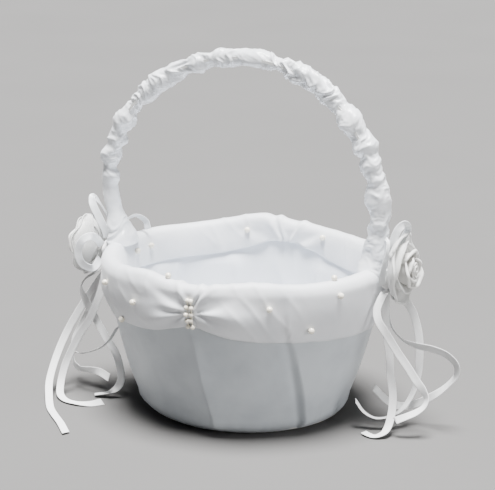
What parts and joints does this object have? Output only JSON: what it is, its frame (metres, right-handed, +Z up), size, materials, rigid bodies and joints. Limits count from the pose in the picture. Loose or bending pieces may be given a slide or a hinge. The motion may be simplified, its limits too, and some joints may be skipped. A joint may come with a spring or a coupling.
{
  "type": "flower girl basket",
  "caption": "Tapered oval satin basket with an organza cuff folded over its rim, a ruched hoop handle, ribbon roses with streamers at both handle feet, and scattered pearls.",
  "frame": {"origin": "middle of the flat underside of the basket", "axes": "+Z up, +X towards the right-hand foot of the handle, -Y towards the front, where the front pearl strings are"},
  "size_m": [0.2755, 0.1867, 0.2373],
  "materials": {
    "cover_satin": "white polyester satin, soft sheen",
    "lining_satin": "white polyester satin, soft sheen",
    "cuff_organza": "sheer white organza over satin, fine weave",
    "sleeve_satin": "white polyester satin, gathered, soft sheen",
    "strip_plastic": "moulded strip",
    "card": "grey-brown card",
    "wadding": "matt polyester wadding",
    "steel": "drawn bright wire",
    "rose_organza": "sheer warm white organza",
    "rose_satin": "white satin ribbon, glossy",
    "ribbon_satin": "white single-face satin ribbon",
    "pearl": "ivory pearl coat"
  },
  "bodies": {
    "root": {"base_board": "card", "base_padding": "wadding", "bow_knot_left": "ribbon_satin", "bow_knot_right": "ribbon_satin", "bow_loop_left_back": "ribbon_satin", "bow_loop_left_front": "ribbon_satin", "bow_loop_left_top": "ribbon_satin", "bow_loop_right_small": "ribbon_satin", "bow_loop_right_top": "ribbon_satin", "cuff": "cuff_organza", "handle_sleeve": "sleeve_satin", "handle_strip": "strip_plastic", "lining": "lining_satin", "outer_cover": "cover_satin", "pearl_1": "pearl", "pearl_10": "pearl", "pearl_11": "pearl", "pearl_12": "pearl", "pearl_13": "pearl", "pearl_14": "pearl", "pearl_15": "pearl", "pearl_16": "pearl", "pearl_17": "pearl", "pearl_2": "pearl", "pearl_3": "pearl", "pearl_4": "pearl", "pearl_5": "pearl", "pearl_6": "pearl", "pearl_7": "pearl", "pearl_8": "pearl", "pearl_9": "pearl", "pearl_string_back_a": "pearl", "pearl_string_back_b": "pearl", "pearl_string_front_a": "pearl", "pearl_string_front_b": "pearl", "rim_wire": "steel", "rose_bloom_left": "rose_satin", "rose_bloom_right": "rose_satin", "rose_petals_left": "rose_organza", "rose_petals_right": "rose_organza", "side_wall": "card", "staple_left_1": "steel", "staple_left_2": "steel", "staple_right_1": "steel", "staple_right_2": "steel", "streamer_left_1": "ribbon_satin", "streamer_left_2": "ribbon_satin", "streamer_left_3": "ribbon_satin", "streamer_left_4": "ribbon_satin", "streamer_left_5": "ribbon_satin", "streamer_right_1": "ribbon_satin", "streamer_right_2": "ribbon_satin", "streamer_right_3": "ribbon_satin", "streamer_right_4": "ribbon_satin"}
  },
  "joints": []
}
